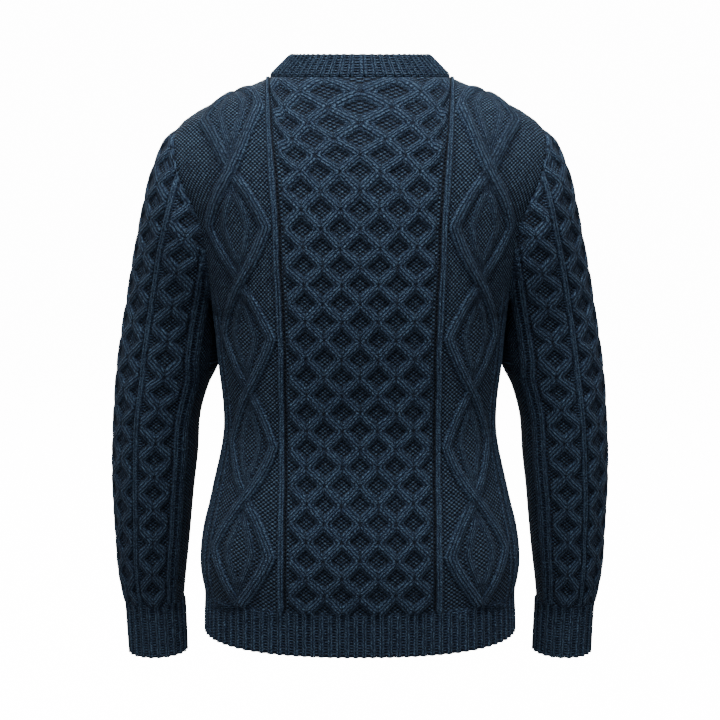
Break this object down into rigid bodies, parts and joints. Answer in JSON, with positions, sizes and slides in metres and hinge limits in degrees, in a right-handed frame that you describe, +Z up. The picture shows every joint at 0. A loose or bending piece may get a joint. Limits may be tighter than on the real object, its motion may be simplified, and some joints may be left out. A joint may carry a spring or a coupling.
{
  "type": "aran sweater",
  "caption": "Crew-neck aran pullover with long set-in sleeves, honeycomb and diamond cables and ribbed edges, hollow and filled out as it is worn.",
  "frame": {"origin": "middle of the neck at the level of the neckband's seam, where the shoulders carry the sweater", "axes": "+Z up towards the neck, +Y out of the sweater's back, +X towards its left sleeve"},
  "size_m": [0.591, 0.2457, 0.7148],
  "materials": {
    "wool": "matt heathered navy wool, cable knit"
  },
  "bodies": {
    "root": {"back": "wool", "front": "wool", "sleeve_left": "wool", "sleeve_right": "wool", "neckband": "wool"}
  },
  "joints": []
}
